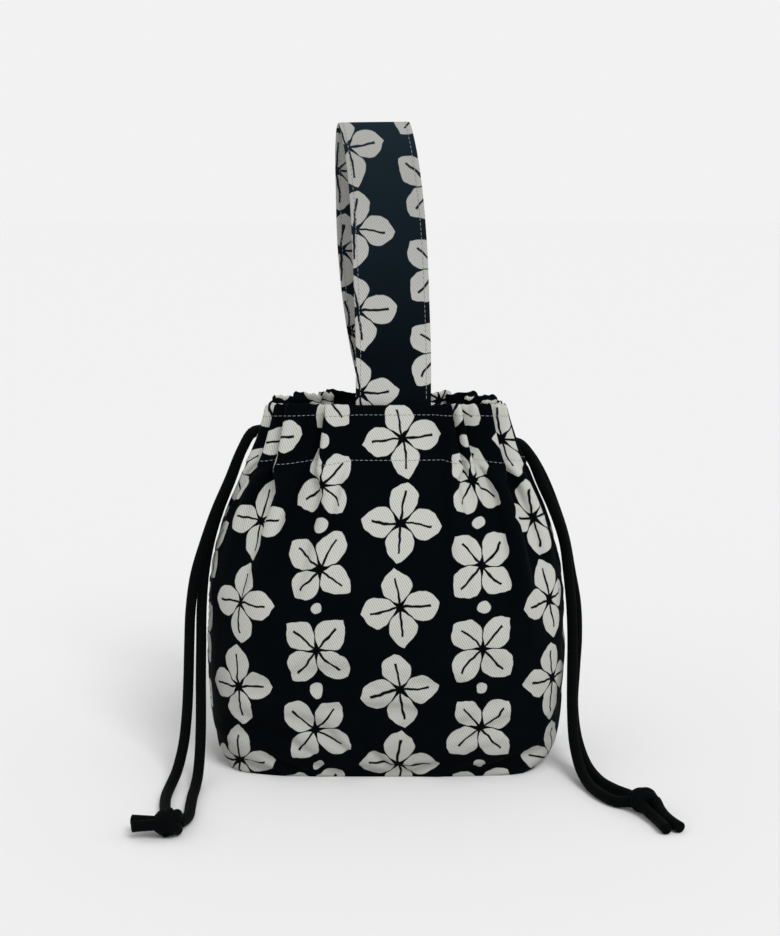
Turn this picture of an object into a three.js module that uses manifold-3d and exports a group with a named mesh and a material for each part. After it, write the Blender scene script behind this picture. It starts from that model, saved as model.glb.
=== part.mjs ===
// A drawstring pouch of printed twill: two gathered wall panels on a flat base, a loop strap
// sewn inside the rim, and two drawcords that leave the casing at opposite side slits.
// Millimetres, +Z up, the front of the pouch faces -Y and the base rests on z = 0.

import * as THREE from "three";
import { mergeVertices } from "three/addons/utils/BufferGeometryUtils.js";
import Module from "manifold-3d";

// Cloth and cord
const CLOTH = 1.2;
const GAP = 0.3;
const CORD_DIAMETER = 7;
const CORD_SIDES = 8;

// Body: its widest and deepest size, and the height of the rim
const BODY_WIDTH = 242;
const BODY_DEPTH = 138;
const RIM_HEIGHT = 244;

// The smooth wall's shape from base to rim: [share of the rim's height, share of the width, share
// of the depth, squareness]. The squareness is the exponent of a superellipse, 2 for an ellipse.
const BODY_SHAPE = [
  [0, 0.85, 0.835, 4.8],
  [0.08, 0.94, 0.93, 3.8],
  [0.225, 0.995, 0.985, 3],
  [0.39, 1, 1, 2.6],
  [0.535, 0.98, 0.97, 2.5],
  [0.675, 0.905, 0.875, 2.4],
  [0.78, 0.805, 0.77, 2.35],
  [0.88, 0.7, 0.63, 2.3],
  [1, 0.612, 0.53, 2.3],
];
const RIM_SIDE_DIP = 7;

// Casing: the hem is folded in at the rim and sewn down by a top and a lower row of stitches
const TOP_STITCH_DROP = 5.5;
const CASING_DEPTH = 29;
const HEM_BELOW_STITCH = 4;
const SLIT_HALF_WIDTH = CORD_DIAMETER + 5 * GAP;
const SLIT_RISE = 14;
const CORD_PITCH = CORD_DIAMETER + 2 * GAP;

// Gathers: [ridge's place across the panel from -1 at the left seam to 1 at the right one, half
// width in the same measure, share of the full height, share of the rim's height where it has
// faded out]. They widen below the casing, and the middle stays flat where the strap is sewn on.
const FOLD_HEIGHT = 9;
const FOLD_SPREAD = 0.6;
const FRONT_FOLDS = [
  [-0.85, 0.085, 0.75, 0.46],
  [-0.69, 0.085, 0.9, 0.54],
  [-0.51, 0.115, 1.1, 0.35],
  [-0.3, 0.105, 0.94, 0.42],
  [0.43, 0.09, 0.9, 0.46],
  [0.6, 0.09, 1, 0.38],
  [0.745, 0.085, 1, 0.5],
  [0.875, 0.075, 0.75, 0.4],
];
const BACK_FOLDS = [
  [-0.85, 0.08, 0.75, 0.42],
  [-0.7, 0.085, 1, 0.52],
  [-0.54, 0.09, 1.05, 0.36],
  [-0.4, 0.075, 0.85, 0.5],
  [0.34, 0.095, 0.95, 0.4],
  [0.53, 0.1, 1, 0.46],
  [0.72, 0.09, 1, 0.34],
  [0.87, 0.08, 0.75, 0.48],
];

// Strap: a flat strip, its loop leaning to the left over the middle of the mouth. Each station of
// the loop has its shift sideways, its share of the gap between both runs (-1 front, 1 rear), its
// share of the loop's height above the rim, and its turn in degrees seen from above.
const STRAP_WIDTH = 49;
const STRAP_THICKNESS = 2.4;
const STRAP_END_ABOVE_HEM = 5;
const STRAP_OFFSET = 5;
const STRAP_RISE = 180.5;
const STRAP_HALF_GAP = 26;
const STRAP_LEAN = 14.5;
const STRAP_LOOP = [
  { lean: 0, out: -0.96, up: 0.177, turn: 0 },
  { lean: 0.07, out: -0.79, up: 0.366, turn: -2 },
  { lean: 0.17, out: -0.69, up: 0.56, turn: -6 },
  { lean: 0.34, out: -0.62, up: 0.753, turn: -14 },
  { lean: 0.62, out: -0.42, up: 0.92, turn: -18 },
  { lean: 0.9, out: 0, up: 1, turn: -16 },
  { lean: 1, out: 0.42, up: 0.925, turn: -12 },
  { lean: 0.97, out: 0.63, up: 0.753, turn: -6 },
  { lean: 0.9, out: 0.73, up: 0.56, turn: -2 },
  { lean: 0.69, out: 0.83, up: 0.366, turn: 0 },
  { lean: 0.34, out: 0.98, up: 0.177, turn: 0 },
];

// Free strands of the drawcords, from the slit to the knot, front strand and rear strand
const LEFT_FRONT_ROUTE = [
  [-82, -3.9, 222.5],
  [-89.5, -4.8, 221.2],
  [-96, -8, 211],
  [-104.8, -12.5, 190],
  [-113.2, -15.5, 171],
  [-120.8, -17.5, 150],
  [-127.4, -20.5, 128],
  [-130.6, -24, 105],
  [-131.4, -28.5, 82],
  [-131.6, -35, 60],
  [-131.8, -44.5, 40],
  [-133, -56, 22],
  [-135.6, -70.5, 9],
  [-138, -87, 4.2],
  [-138.4, -105, 3.7],
  [-136.6, -123, 3.7],
  [-133.4, -140, 3.9],
  [-130.5, -153.9, 5.8],
];
const LEFT_REAR_ROUTE = [
  [-82, 3.9, 222.5],
  [-89.5, 3, 221.2],
  [-96.2, -0.2, 211],
  [-104.2, -4.2, 190],
  [-111.8, -7, 171],
  [-118.2, -9.6, 150],
  [-122.2, -13.6, 128],
  [-123.6, -20.5, 105],
  [-123.4, -29, 82],
  [-123, -38, 60],
  [-122.2, -48, 39],
  [-121.6, -60.5, 21],
  [-121.6, -74, 8.5],
  [-121.8, -88, 4.2],
  [-121.8, -104, 3.7],
  [-121, -121, 3.7],
  [-120.4, -140, 3.9],
  [-124.1, -156.3, 5.8],
];
const RIGHT_FRONT_ROUTE = [
  [82, -3.9, 214.2],
  [89.8, -4.5, 213],
  [97.8, -7.4, 203.5],
  [104, -10.2, 189],
  [112.2, -12.7, 171],
  [119.4, -14.2, 150],
  [122.6, -15.2, 128],
  [124.9, -16.8, 106],
  [125.6, -20.8, 84],
  [125, -28, 62],
  [124.2, -38.5, 41],
  [124.4, -52, 22],
  [127, -68, 9],
  [131, -85, 4.2],
  [136.4, -101, 3.7],
  [143.6, -113, 3.7],
  [153.6, -120, 5.8],
];
const RIGHT_REAR_ROUTE = [
  [82, 3.9, 214.2],
  [90, 3.6, 213],
  [97.6, 1.6, 205],
  [106, 0, 190.5],
  [114, -2, 171],
  [120.8, -4, 150],
  [125, -6.3, 128],
  [128.8, -9.3, 106],
  [129.6, -12.8, 84],
  [127.8, -19.6, 62],
  [125.8, -30, 41],
  [127.2, -43.4, 22],
  [132, -59.6, 9],
  [138.2, -75.8, 4.2],
  [145.6, -91, 3.7],
  [153.4, -101.5, 3.8],
  [158.9, -114.9, 5.8],
];

// Knots: the overhand knot that ties both strands of one side, lying on the table
const KNOT_FLATNESS = 0.88;
const TAIL_FALL = 1.6;
const LEFT_KNOT = { x: -129.5, y: -161, radius: 9.4, tail: 17, headings: [[-1, -0.05], [-0.86, -0.5]] };
const RIGHT_KNOT = { x: 160.2, y: -121.5, radius: 8.2, tail: 30, headings: [[0.12, -0.99], [0.42, -0.91]] };

// Mesh fineness
const ACROSS = 50;
const WALL_ROWS = 12;
const SECTION_SAMPLES = 60;
const CASING_RUN_STEPS = 44;

// Share of the way round at which a drawcord turns out of the casing towards its slit
const CASING_RUN_START = 0.043;

const PRINT_BLACK = new THREE.MeshStandardMaterial({ color: 0x10141a, roughness: 0.92, metalness: 0 });
const CORD_BLACK = new THREE.MeshStandardMaterial({ color: 0x07080a, roughness: 0.8, metalness: 0 });

const sectionScales = [RIM_HEIGHT, BODY_WIDTH / 2, BODY_DEPTH / 2, 1];
const sectionCurves = [1, 2, 3].map(
  (column) =>
    new THREE.CatmullRomCurve3(
      BODY_SHAPE.map(
        (row) => new THREE.Vector3(row[0] * RIM_HEIGHT, row[column] * sectionScales[column], 0),
      ),
      false,
      "centripetal",
    ),
);

// Value of one section column at a height, read from its smooth curve by bisection
function sectionValue(column, height) {
  let low = 0;
  let high = 1;
  const point = new THREE.Vector3();
  for (let i = 0; i < 24; i++) {
    const middle = (low + high) / 2;
    sectionCurves[column - 1].getPoint(middle, point);
    if (point.x < height) low = middle;
    else high = middle;
  }
  return point.y;
}

// Quarter of the wall's outline at a height, from its middle (0) to its seam (1) by length
const outlines = new Map();
function quarterOutline(height) {
  const key = height.toFixed(3);
  if (!outlines.has(key)) {
    const [a, b, n] = [1, 2, 3].map((column) => sectionValue(column, height));
    const points = [];
    for (let i = 0; i <= SECTION_SAMPLES; i++) {
      const angle = (i / SECTION_SAMPLES) * (Math.PI / 2);
      const x = a * Math.sin(angle) ** (2 / n);
      const y = -b * Math.max(Math.cos(angle), 0) ** (2 / n);
      points.push(new THREE.Vector2(x, y));
    }
    const lengths = [0];
    for (let i = 1; i < points.length; i++)
      lengths.push(lengths[i - 1] + points[i].distanceTo(points[i - 1]));
    outlines.set(key, { points, lengths, total: lengths.at(-1) });
  }
  return outlines.get(key);
}

// Point of the smooth wall: across from -1 (left seam) to 1 (right seam), height above the base
function smoothPoint(across, height) {
  const { points, lengths, total } = quarterOutline(height);
  const target = Math.min(Math.abs(across), 1) * total;
  let i = 1;
  while (i < lengths.length - 1 && lengths[i] < target) i++;
  const share = (target - lengths[i - 1]) / (lengths[i] - lengths[i - 1]);
  const p = points[i - 1].clone().lerp(points[i], share);
  return new THREE.Vector3(Math.sign(across) * p.x, p.y, height);
}

function smoothOutward(across, height) {
  const step = 0.01;
  const left = smoothPoint(Math.max(across - step, -1), height);
  const right = smoothPoint(Math.min(across + step, 1), height);
  const along = right.sub(left);
  if (Math.abs(across) > 1 - step) return new THREE.Vector3(Math.sign(across), 0, 0);
  return new THREE.Vector3(along.y, -along.x, 0).normalize();
}

const smoothStep = (t) => {
  const clamped = Math.min(Math.max(t, 0), 1);
  return clamped * clamped * (3 - 2 * clamped);
};

// How far the gathers stand out from the smooth wall
function foldHeight(folds, across, height) {
  const full = RIM_HEIGHT - CASING_DEPTH;
  const spread = 1 + FOLD_SPREAD * Math.max((full - height) / RIM_HEIGHT, 0);
  let out = 0;
  for (const [at, width, tall, fades] of folds) {
    const away = Math.abs(across - at) / (width * spread);
    if (away >= 1) continue;
    const profile = 0.5 + 0.5 * Math.cos(Math.PI * away);
    const start = fades * RIM_HEIGHT;
    out += FOLD_HEIGHT * tall * profile * smoothStep((height - start) / (full - start));
  }
  return out;
}

const dipAt = (across, height) => (RIM_SIDE_DIP * Math.abs(across) ** 3 * height) / RIM_HEIGHT;

// Middle of the wall cloth, with its gathers
function wallPoint(folds, across, height) {
  const outward = smoothOutward(across, height);
  const p = smoothPoint(across, height).addScaledVector(outward, foldHeight(folds, across, height));
  p.z -= dipAt(across, height);
  return p;
}

function wallOutward(folds, across, height) {
  const step = 0.006;
  const along = wallPoint(folds, Math.min(across + step, 1), height).sub(
    wallPoint(folds, Math.max(across - step, -1), height),
  );
  return new THREE.Vector3(along.y, -along.x, 0).normalize();
}

// Heights of the casing, measured at the panel's middle
const foldRadius = (CLOTH + GAP) / 2;
const wallTop = RIM_HEIGHT - foldRadius - CLOTH / 2;
const casingTop = RIM_HEIGHT - TOP_STITCH_DROP;
const casingFoot = casingTop - CASING_DEPTH;
const hemEnd = casingFoot - HEM_BELOW_STITCH;
const cordInset = CLOTH / 2 + 2.5 * GAP + CORD_DIAMETER / 2;
const channelInset = 2 * cordInset;
const cordLevel = (casingTop + casingFoot) / 2 + 1;
const channelTop = cordLevel + 0.42 * (CORD_PITCH + CORD_DIAMETER);
const channelFoot = cordLevel - 0.56 * (CORD_PITCH + CORD_DIAMETER);

// Share of the way from flat against the wall (0) to right round the cords (1)
function channelShare(height) {
  const above = (casingTop - height) / (casingTop - channelTop);
  const below = (height - casingFoot) / (channelFoot - casingFoot);
  return smoothStep(above) * smoothStep(below);
}

function hemPoint(folds, across, height) {
  const flush = wallPoint(folds, across, height).addScaledVector(
    wallOutward(folds, across, height),
    -2 * foldRadius,
  );
  const round = smoothPoint(across, height).addScaledVector(smoothOutward(across, height), -channelInset);
  round.z -= dipAt(across, height);
  return flush.lerp(round, channelShare(height));
}

// Height rows of the wall from the base up, closer together towards the gathers
function wallHeights() {
  const rows = [];
  for (let i = 0; i <= WALL_ROWS; i++) {
    const t = i / WALL_ROWS;
    rows.push(wallTop * (1 - (1 - t) ** 1.35));
  }
  return rows;
}

function hemHeights() {
  const between = (high, low, share) => high + (low - high) * share;
  const down = [0.33, 0.66].map((share) => between(casingTop, channelTop, share));
  const back = [0.33, 0.66].map((share) => between(channelFoot, casingFoot, share));
  return [wallTop, casingTop, ...down, channelTop, cordLevel, channelFoot, ...back, casingFoot, hemEnd];
}

// Half width of the slit at the side seam: a hair's gap below the casing, open beside it
function seamCut(height) {
  const open = smoothStep((height - (casingFoot - SLIT_RISE)) / SLIT_RISE);
  return GAP / 2 + (SLIT_HALF_WIDTH - GAP / 2) * open;
}

// The panel as a grid of points on the middle of the cloth: up the wall, over the fold, down the hem
function panelGrid(folds) {
  const rows = [];
  const row = (height, place) => {
    const edge = 1 - seamCut(height) / quarterOutline(height).total;
    const line = [];
    for (let i = 0; i <= ACROSS; i++) line.push(place(edge * (-1 + (2 * i) / ACROSS)));
    rows.push(line);
  };
  for (const height of wallHeights()) row(height, (s) => wallPoint(folds, s, height));
  row(RIM_HEIGHT, (s) => {
    const inward = wallOutward(folds, s, wallTop).multiplyScalar(-foldRadius);
    const crest = wallPoint(folds, s, wallTop).add(inward);
    crest.z += foldRadius;
    return crest;
  });
  for (const height of hemHeights()) row(height, (s) => hemPoint(folds, s, height));
  return rows;
}

// A closed sheet of even thickness round a grid of middle points. A sheet that meets its twin at
// the side seams keeps its end faces in the seam's plane.
function sheetGeometry(grid, thickness, meetsAtSeams = false) {
  const rows = grid.length - 1;
  const columns = grid[0].length - 1;
  const box = new THREE.BoxGeometry(columns, rows, 1, columns, rows, 1);
  box.deleteAttribute("normal");
  box.deleteAttribute("uv");
  const sheet = mergeVertices(box, 0.01);
  const at = (i, j) => grid[Math.min(Math.max(j, 0), rows)][Math.min(Math.max(i, 0), columns)];
  const position = sheet.getAttribute("position");
  for (let k = 0; k < position.count; k++) {
    const i = Math.round(position.getX(k) + columns / 2);
    const j = Math.round(position.getY(k) + rows / 2);
    const along = at(i + 1, j).clone().sub(at(i - 1, j));
    const up = at(i, j + 1).clone().sub(at(i, j - 1));
    const normal = along.cross(up);
    if (meetsAtSeams && (i === 0 || i === columns)) normal.y = 0;
    normal.normalize();
    const p = at(i, j).clone().addScaledVector(normal, Math.sign(position.getZ(k)) * (thickness / 2));
    position.setXYZ(k, p.x, p.y, meetsAtSeams && j === 0 ? 0 : p.z);
  }
  return sheet;
}

const part = new THREE.Group();

function addMesh(name, geometry, material) {
  const mesh = new THREE.Mesh(geometry, material);
  mesh.name = name;
  part.add(mesh);
  return mesh;
}

function addPanels() {
  addMesh("front_panel", sheetGeometry(panelGrid(FRONT_FOLDS), CLOTH, true), PRINT_BLACK);
  const back = addMesh("back_panel", sheetGeometry(panelGrid(BACK_FOLDS), CLOTH, true), PRINT_BLACK);
  back.rotation.z = Math.PI;
}

// The base: a flat sheet inside the foot of the walls
function addBase() {
  const inset = CLOTH / 2 + GAP;
  const outline = [];
  for (const side of [-1, 1])
    for (let i = 0; i < ACROSS; i++) {
      const s = -1 + (2 * i) / ACROSS;
      const p = smoothPoint(s, 0).addScaledVector(smoothOutward(s, 0), -inset);
      outline.push(new THREE.Vector2(-side * p.x, -side * p.y));
    }
  const shape = new THREE.Shape(outline);
  const base = new THREE.ExtrudeGeometry(shape, { depth: CLOTH, steps: 1, bevelEnabled: false });
  addMesh("base_panel", base, PRINT_BLACK);
}

// Inward normal of the hem, for what lies against it
function hemInward(across, height) {
  const step = 0.01;
  const along = hemPoint([], across + step, height).sub(hemPoint([], across - step, height));
  const up = hemPoint([], across, height + 0.5).sub(hemPoint([], across, height - 0.5));
  return up.cross(along).normalize();
}

// One edge-to-edge column of the strap: down inside the casing at both ends, a free loop between
function strapColumn(share) {
  const clear = CLOTH / 2 + STRAP_THICKNESS / 2 + 2 * GAP;
  const heights = hemHeights().filter((height) => height > hemEnd + STRAP_END_ABOVE_HEM);
  const end = (side) => {
    const x = STRAP_OFFSET + share * STRAP_WIDTH;
    const across = (side * x) / quarterOutline(RIM_HEIGHT).total;
    return heights.map((height) => {
      const p = hemPoint([], across, height).addScaledVector(hemInward(across, height), clear);
      return new THREE.Vector3(x, side * p.y, p.z);
    });
  };
  const loop = STRAP_LOOP.map((at) => {
    const turn = THREE.MathUtils.degToRad(at.turn);
    const reach = share * STRAP_WIDTH;
    const x = STRAP_OFFSET - at.lean * STRAP_LEAN + reach * Math.cos(turn);
    const y = at.out * STRAP_HALF_GAP + reach * Math.sin(turn);
    return new THREE.Vector3(x, y, RIM_HEIGHT + at.up * STRAP_RISE);
  });
  const points = [...end(1).reverse(), ...loop, ...end(-1)];
  return new THREE.CatmullRomCurve3(points, false, "catmullrom", 0.5);
}

function addStrap() {
  const shares = [-0.5, -0.25, 0, 0.25, 0.5];
  const columns = shares.map((share) => strapColumn(share));
  const steps = 2 * (columns[0].points.length - 1);
  const grid = [];
  for (let j = 0; j <= steps; j++) grid.push(columns.map((column) => column.getPoint(j / steps)));
  addMesh("strap", sheetGeometry(grid, STRAP_THICKNESS), PRINT_BLACK);
}

// A round cord along a curve, closed at both ends
function cordGeometry(points, steps, diameter = CORD_DIAMETER) {
  const outline = [];
  for (let i = 0; i < CORD_SIDES; i++) {
    const angle = ((i + 0.5) / CORD_SIDES) * 2 * Math.PI;
    outline.push(new THREE.Vector2(Math.cos(angle), Math.sin(angle)).multiplyScalar(diameter / 2));
  }
  const path = new THREE.CatmullRomCurve3(points, false, "centripetal");
  return new THREE.ExtrudeGeometry(new THREE.Shape(outline), { steps, extrudePath: path });
}

// Where a drawcord inside the casing meets its free strand, face to face at the slit
function slitPoints(route) {
  const [first, second] = route.slice(0, 2).map((p) => new THREE.Vector3(...p));
  const back = first.clone().sub(second).normalize();
  return [GAP, GAP + CORD_DIAMETER / 2].map((reach) => first.clone().addScaledVector(back, reach));
}

// The stretch of one drawcord that runs right round inside the casing, from slit to slit
function casingRun(height, side, frontRoute, rearRoute) {
  const points = [];
  for (let i = 0; i <= CASING_RUN_STEPS; i++) {
    const round = CASING_RUN_START + ((1 - 2 * CASING_RUN_START) * i) / CASING_RUN_STEPS;
    const front = round < 0.5;
    const s = side * (front ? 1 - 4 * round : 4 * round - 3);
    const p = smoothPoint(s, height).addScaledVector(smoothOutward(s, height), -cordInset);
    p.z -= dipAt(s, height);
    if (!front) p.y = -p.y;
    points.push(p);
  }
  return [...slitPoints(frontRoute), ...points, ...slitPoints(rearRoute).reverse()];
}

function addCords() {
  const upper = cordLevel + CORD_PITCH / 2;
  const lower = cordLevel - CORD_PITCH / 2;
  const leftRun = casingRun(upper, -1, LEFT_FRONT_ROUTE, LEFT_REAR_ROUTE);
  const rightRun = casingRun(lower, 1, RIGHT_FRONT_ROUTE, RIGHT_REAR_ROUTE);
  addMesh("left_cord_in_casing", cordGeometry(leftRun, 60), CORD_BLACK);
  addMesh("right_cord_in_casing", cordGeometry(rightRun, 60), CORD_BLACK);
  const strands = {
    left_cord_front: LEFT_FRONT_ROUTE,
    left_cord_rear: LEFT_REAR_ROUTE,
    right_cord_front: RIGHT_FRONT_ROUTE,
    right_cord_rear: RIGHT_REAR_ROUTE,
  };
  for (const [name, route] of Object.entries(strands)) {
    const points = route.map((p) => new THREE.Vector3(...p));
    addMesh(name, cordGeometry(points, 28), CORD_BLACK);
  }
}

const wasm = await Module();
wasm.setup();

// A closed geometry as a solid that can be joined to others
function solidOf(geometry) {
  const plain = geometry.clone();
  plain.deleteAttribute("normal");
  plain.deleteAttribute("uv");
  const merged = mergeVertices(plain, 1e-4);
  return new wasm.Manifold(
    new wasm.Mesh({
      numProp: 3,
      vertProperties: new Float32Array(merged.getAttribute("position").array),
      triVerts: new Uint32Array(merged.index.array),
    }),
  );
}

function geometryOf(solid) {
  const mesh = solid.getMesh();
  const geometry = new THREE.BufferGeometry();
  geometry.setAttribute("position", new THREE.BufferAttribute(mesh.vertProperties, 3));
  geometry.setIndex(new THREE.BufferAttribute(mesh.triVerts, 1));
  return geometry;
}

// A socket that takes the end of one strand with a hair's gap all round
function strandSocket(route) {
  const points = route.slice(-3).map((p) => new THREE.Vector3(...p));
  const [before, end] = points.slice(-2);
  points.push(end.clone().addScaledVector(end.clone().sub(before).normalize(), GAP));
  return solidOf(cordGeometry(points, 8, CORD_DIAMETER + 2 * GAP));
}

// Both strands tied together in one lump, with two short tails lying beside each other
function addKnot(name, knot, routes) {
  const lump = new THREE.SphereGeometry(knot.radius, 12, 8);
  lump.scale(1, 1, KNOT_FLATNESS);
  lump.translate(knot.x, knot.y, knot.radius * KNOT_FLATNESS + GAP);
  let solid = solidOf(lump);
  for (const [dx, dy] of knot.headings) {
    const ends = [0.1, 0.4, 0.7, 1].map((share, i) => {
      const reach = share * (knot.radius + knot.tail);
      const height = Math.max(CORD_DIAMETER / 2 + GAP, knot.radius * KNOT_FLATNESS - TAIL_FALL * i);
      return new THREE.Vector3(knot.x + dx * reach, knot.y + dy * reach, height);
    });
    solid = solid.add(solidOf(cordGeometry(ends, 6)));
  }
  for (const route of routes) solid = solid.subtract(strandSocket(route));
  addMesh(name, geometryOf(solid), CORD_BLACK);
}

addPanels();
addBase();
addStrap();
addCords();
addKnot("left_knot", LEFT_KNOT, [LEFT_FRONT_ROUTE, LEFT_REAR_ROUTE]);
addKnot("right_knot", RIGHT_KNOT, [RIGHT_FRONT_ROUTE, RIGHT_REAR_ROUTE]);

export default part;
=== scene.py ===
"""A drawstring pouch of printed twill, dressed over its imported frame."""

import math

import bpy
import numpy as np
from mathutils import Matrix, Vector


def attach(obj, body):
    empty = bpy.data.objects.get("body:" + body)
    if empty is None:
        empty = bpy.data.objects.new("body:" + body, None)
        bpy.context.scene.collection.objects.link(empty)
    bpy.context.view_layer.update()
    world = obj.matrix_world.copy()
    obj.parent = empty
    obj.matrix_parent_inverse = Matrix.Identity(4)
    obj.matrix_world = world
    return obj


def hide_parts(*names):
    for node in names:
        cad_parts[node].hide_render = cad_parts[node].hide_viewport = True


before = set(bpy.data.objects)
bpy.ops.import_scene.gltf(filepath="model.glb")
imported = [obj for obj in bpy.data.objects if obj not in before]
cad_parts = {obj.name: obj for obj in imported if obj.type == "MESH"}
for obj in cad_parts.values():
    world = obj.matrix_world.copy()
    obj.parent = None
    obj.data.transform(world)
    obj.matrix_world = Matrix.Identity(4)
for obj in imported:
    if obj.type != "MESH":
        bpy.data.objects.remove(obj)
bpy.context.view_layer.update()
MM = 0.001

# Body as in the frame, in millimetres: widest and deepest size, rim height, dip at the side seams
BODY_WIDTH = 242.0
BODY_DEPTH = 138.0
RIM_HEIGHT = 244.0
RIM_SIDE_DIP = 7.0
# Share of the rim's height, of the width and of the depth, and squareness of the outline
BODY_SHAPE = np.array(
    [
        (0, 0.85, 0.835, 4.8),
        (0.08, 0.94, 0.93, 3.8),
        (0.225, 0.995, 0.985, 3),
        (0.39, 1, 1, 2.6),
        (0.535, 0.98, 0.97, 2.5),
        (0.675, 0.905, 0.875, 2.4),
        (0.78, 0.805, 0.77, 2.35),
        (0.88, 0.7, 0.63, 2.3),
        (1, 0.612, 0.53, 2.3),
    ]
)

# Drawcords, the casing that holds them and the slits where they leave it
CORD_DIAMETER = 7.0
CORD_PITCH = 7.6
CORD_LEVEL = 225.0
CORD_SIDES = 20
HELD_CORD_INSET = 8.0
CASING_TOP = 238.5
CASING_FOOT = 209.5
CHANNEL_TOP = CORD_LEVEL + 6.1
CHANNEL_FOOT = CORD_LEVEL - 8.2
CHANNEL_INSET = 12.5
HEM_END = 205.5
HEM_CLEARANCE = 0.3
HEM_RUFFLE = 2.2
SLIT_HALF_WIDTH = 8.2
SLIT_RISE = 14.0
# Rounded end of a cord: each ring's share of the radius and of the end's reach
CORD_END = ((0.93, 0.35), (0.72, 0.7), (0.4, 0.9), (0.02, 1.0))
CORD_END_REACH = 0.55

# Cloth of one wall panel: its thickness, the gap between wall and hem, its flat width between the
# side seams, which narrows towards the base below the given height, and the fineness of its grid
CLOTH = 0.9
PLY_GAP = 0.35
FLAT_WIDTH = 318.0
FULL_WIDTH_FROM = 100.0
SEAM_GAP = 0.2
SEAM_CLEARANCE = 0.15
SEAM_TURN = (0.55, 1.9, 4.6)
COLUMNS = 200
WALL_ROWS = 104
HEM_ROWS = 22
OUTLINE_POINTS = 240
ROW_POINTS = 2401
MERIDIAN_POINTS = 600

# Gathers: ridge across the panel (-1 left seam, 1 right seam), half width, share of the depth,
# height where the gather has faded out as a share of the rim's height, and how far its crest
# leans over sideways as a share of its depth
FRONT_FOLDS = [
    (-0.95, 0.05, 0.4, 0.66, -0.2),
    (-0.85, 0.085, 0.75, 0.46, -0.5),
    (-0.69, 0.08, 0.9, 0.54, -0.6),
    (-0.51, 0.115, 1.1, 0.35, -0.8),
    (-0.30, 0.105, 0.85, 0.42, -0.8),
    (0.395, 0.06, 0.75, 0.50, 0.5),
    (0.48, 0.045, 0.7, 0.66, 0.4),
    (0.60, 0.085, 1.0, 0.38, 0.7),
    (0.745, 0.08, 1.0, 0.50, 0.6),
    (0.87, 0.065, 0.75, 0.40, 0.5),
    (0.955, 0.045, 0.4, 0.64, 0.2),
]
BACK_FOLDS = [
    (-0.95, 0.045, 0.4, 0.64, -0.2),
    (-0.85, 0.075, 0.75, 0.42, -0.5),
    (-0.70, 0.085, 1.0, 0.52, -0.7),
    (-0.54, 0.085, 1.05, 0.36, -0.7),
    (-0.40, 0.07, 0.85, 0.50, -0.6),
    (0.33, 0.08, 0.95, 0.40, 0.7),
    (0.45, 0.05, 0.7, 0.62, 0.5),
    (0.56, 0.08, 1.0, 0.46, 0.7),
    (0.72, 0.085, 1.0, 0.34, 0.7),
    (0.865, 0.07, 0.75, 0.48, 0.4),
    (0.955, 0.045, 0.4, 0.66, 0.2),
]
# Shares of the rim's height where the gathers are full and where they start to spread downwards
FULL_GATHER = 0.88
SPREAD_BELOW = 0.86
FOLD_SPREAD = 0.7
CREST_LEAN = 1.1
# Deepest gather that is tried, and how often the range of depths is halved to find the right one
DEEPEST_GATHER = 15.0
HALVINGS = 22
# Cloth between the gathers sinks this far behind the smooth wall, from a height on and over a rise
GATHER_SINK = 3.0
SINK_FROM = 185.0
SINK_RISE = 28.0
# Half width of the flat middle where the strap is sewn on, and the way from there to a full sink
STRAP_SEAT = 0.3
SEAT_EDGE = 0.12
# Rise of the crests and drop of the valleys at the rim, drop of the crests and rise of the sides at
# the casing's foot, and how far above and below the foot that fades
RIM_CREST = 2.2
RIM_VALLEY = 0.6
FOOT_CREST = 2.6
FOOT_SIDE_RISE = 5.0
FOOT_REACH = 14.0
# Small frill of the rim's edge, which comes in with the crests' rise, from a height on
FRILL_FROM = CASING_TOP - 2
FRILL_RISE = 7.0
FRILL_PITCH = 7.0
FRILL_DEPTH = 0.7
# The uneven relief that starts the cloth's own folds: how many waves, how high, and their seeds
FIRST_WAVES = 14
FIRST_WAVE_HEIGHT = 0.35
FRONT_SEED = 3
BACK_SEED = 11

# Cloth settling: steps and pulls in each, damping, weight, resistance to shear, and to bends over
# a few cells
SETTLE_STEPS = 170
PULLS = 3
DAMPING = 0.9
WEIGHT = 0.006
SHEAR = 0.22
BENDS = ((2, 0.08), (4, 0.03), (7, 0.01))
WALL_SLACK = 1.004
# How far the filled inside lies behind the smooth wall, and how far cloth may stand off that wall:
# a little below, and more from a height on and over a rise
FILLING_INSET = 1.5
STAND_OFF_LOW = 1.2
STAND_OFF_HIGH = 14.0
STAND_OFF_FROM = 95.0
STAND_OFF_RISE = 100.0

# Strap, as in the frame. Each station of the loop has its shift sideways, its share of the gap
# between both runs, its share of the loop's height, and its turn in degrees seen from above.
STRAP_WIDTH = 49.0
STRAP_THICKNESS = 2.4
STRAP_OFFSET = 5.0
STRAP_RISE = 180.5
STRAP_HALF_GAP = 26.0
STRAP_LEAN = 14.5
# The strap's middle line stands out from its edges by this
STRAP_CUP = 0.6
STRAP_COLUMNS = 25
STRAP_ROWS = 181
STRAP_EDGE_ROUND = 0.8
STRAP_PRINT_SHIFT = (31.0, 17.0)
STRAP_LOOP = [
    (0, -0.96, 0.177, 0),
    (0.07, -0.79, 0.366, -2),
    (0.17, -0.69, 0.56, -6),
    (0.34, -0.62, 0.753, -14),
    (0.62, -0.42, 0.92, -18),
    (0.9, 0, 1, -16),
    (1, 0.42, 0.925, -12),
    (0.97, 0.63, 0.753, -6),
    (0.9, 0.73, 0.56, -2),
    (0.69, 0.83, 0.366, 0),
    (0.34, 0.98, 0.177, 0),
]
# Heights that the strap's ends pass inside the hem, and their depth behind the smooth wall
STRAP_END_LEVELS = (212.0, 217.0, 223.0, 229.0, 233.5, 238.0, 243.0, 250.0)
STITCHED_INSET = 1.5
STRAP_CLEARANCE = CLOTH / 2 + STRAP_THICKNESS / 2 + 1.0

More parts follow.
